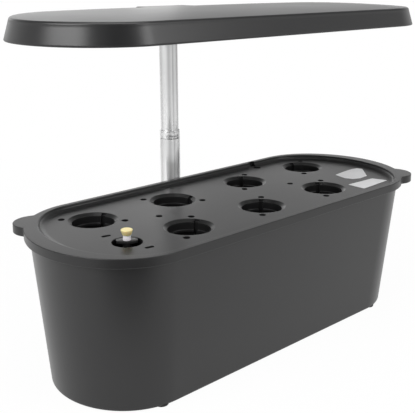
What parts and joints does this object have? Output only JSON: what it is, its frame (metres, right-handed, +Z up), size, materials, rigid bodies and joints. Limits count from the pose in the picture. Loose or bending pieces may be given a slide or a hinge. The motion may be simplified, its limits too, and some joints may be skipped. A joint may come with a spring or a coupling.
{
  "type": "countertop hydroponic garden",
  "caption": "Countertop hydroponic garden: oval water tank with a lift-off planting deck, level float and pump, under a sliding lamp hood on a telescopic mast.",
  "frame": {"origin": "middle of the whole part's footprint, on the plane that its feet stand on", "axes": "+X along the tank, +Y towards the mast, +Z up"},
  "size_m": [0.3686, 0.1656, 0.268],
  "materials": {
    "tank_shell": "dark grey moulded plastic with a satin gloss",
    "deck_plastic": "mid grey moulded plastic with a fine satin grain",
    "hood_plastic": "dark grey moulded plastic with a satin gloss",
    "mast_steel": "bright brushed stainless tube",
    "inner_plastic": "black technical plastic",
    "screw_steel": "plain steel screws",
    "button_plastic": "grey dished button cap",
    "opal_plastic": "opal light diffuser",
    "led_board": "white solder mask on aluminium",
    "driver_board": "green circuit board",
    "float_yellow": "pale yellow float cap",
    "float_white": "white moulded plastic",
    "float_foam": "closed cell foam",
    "pump_plastic": "black pump housing",
    "rotor_magnet": "ferrite rotor",
    "pump_ceramic": "ceramic shaft",
    "soft_rubber": "black rubber"
  },
  "bodies": {
    "base": {"tank": "tank_shell", "foot_1": "soft_rubber", "foot_2": "soft_rubber", "foot_3": "soft_rubber", "foot_4": "soft_rubber", "lower_tube": "mast_steel", "tube_collar": "mast_steel", "tube_plug": "inner_plastic", "tube_screw": "screw_steel", "pump_housing": "pump_plastic", "pump_cover": "pump_plastic", "pump_shaft": "pump_ceramic", "pump_nozzle": "pump_plastic", "pump_gland": "soft_rubber", "pump_foot_1": "soft_rubber", "pump_foot_2": "soft_rubber", "pump_foot_3": "soft_rubber", "pump_foot_4": "soft_rubber"},
    "deck": {"grow_deck": "deck_plastic"},
    "float": {"float_cap": "float_yellow", "float_stem": "float_white", "float_body": "float_foam"},
    "hood": {"hood_shell": "hood_plastic", "upper_tube": "mast_steel", "friction_plug": "inner_plastic", "mast_screw": "screw_steel", "hood_frame": "hood_plastic", "diffuser": "opal_plastic", "led_board": "led_board", "driver_board": "driver_board", "hood_screw_1": "screw_steel", "hood_screw_2": "screw_steel", "hood_screw_3": "screw_steel", "hood_screw_4": "screw_steel", "tact_switch": "inner_plastic", "dc_inlet": "inner_plastic"},
    "button": {"mode_button": "button_plastic"},
    "rotor": {"impeller": "float_white", "rotor_magnet": "rotor_magnet"}
  },
  "joints": [
    {"name": "deck_lift", "type": "slide", "parent": "base", "child": "deck", "axis": [0, 0, 1], "range_m": [0, 0.035]},
    {"name": "float_rise", "type": "slide", "parent": "deck", "child": "float", "axis": [0, 0, 1], "range_m": [0, 0.02]},
    {"name": "hood_slide", "type": "slide", "parent": "base", "child": "hood", "axis": [0, 0, 1], "range_m": [-0.06, 0.05]},
    {"name": "button_press", "type": "slide", "parent": "hood", "child": "button", "axis": [0, -1, 0], "range_m": [0, 0.0012], "stiffness_N_per_m": 300, "springref_m": -0.001},
    {"name": "rotor_spin", "type": "hinge", "parent": "base", "child": "rotor", "pos_m": [0.097, -0.00375, 0.0232], "axis": [1, 0, 0], "continuous": true}
  ]
}
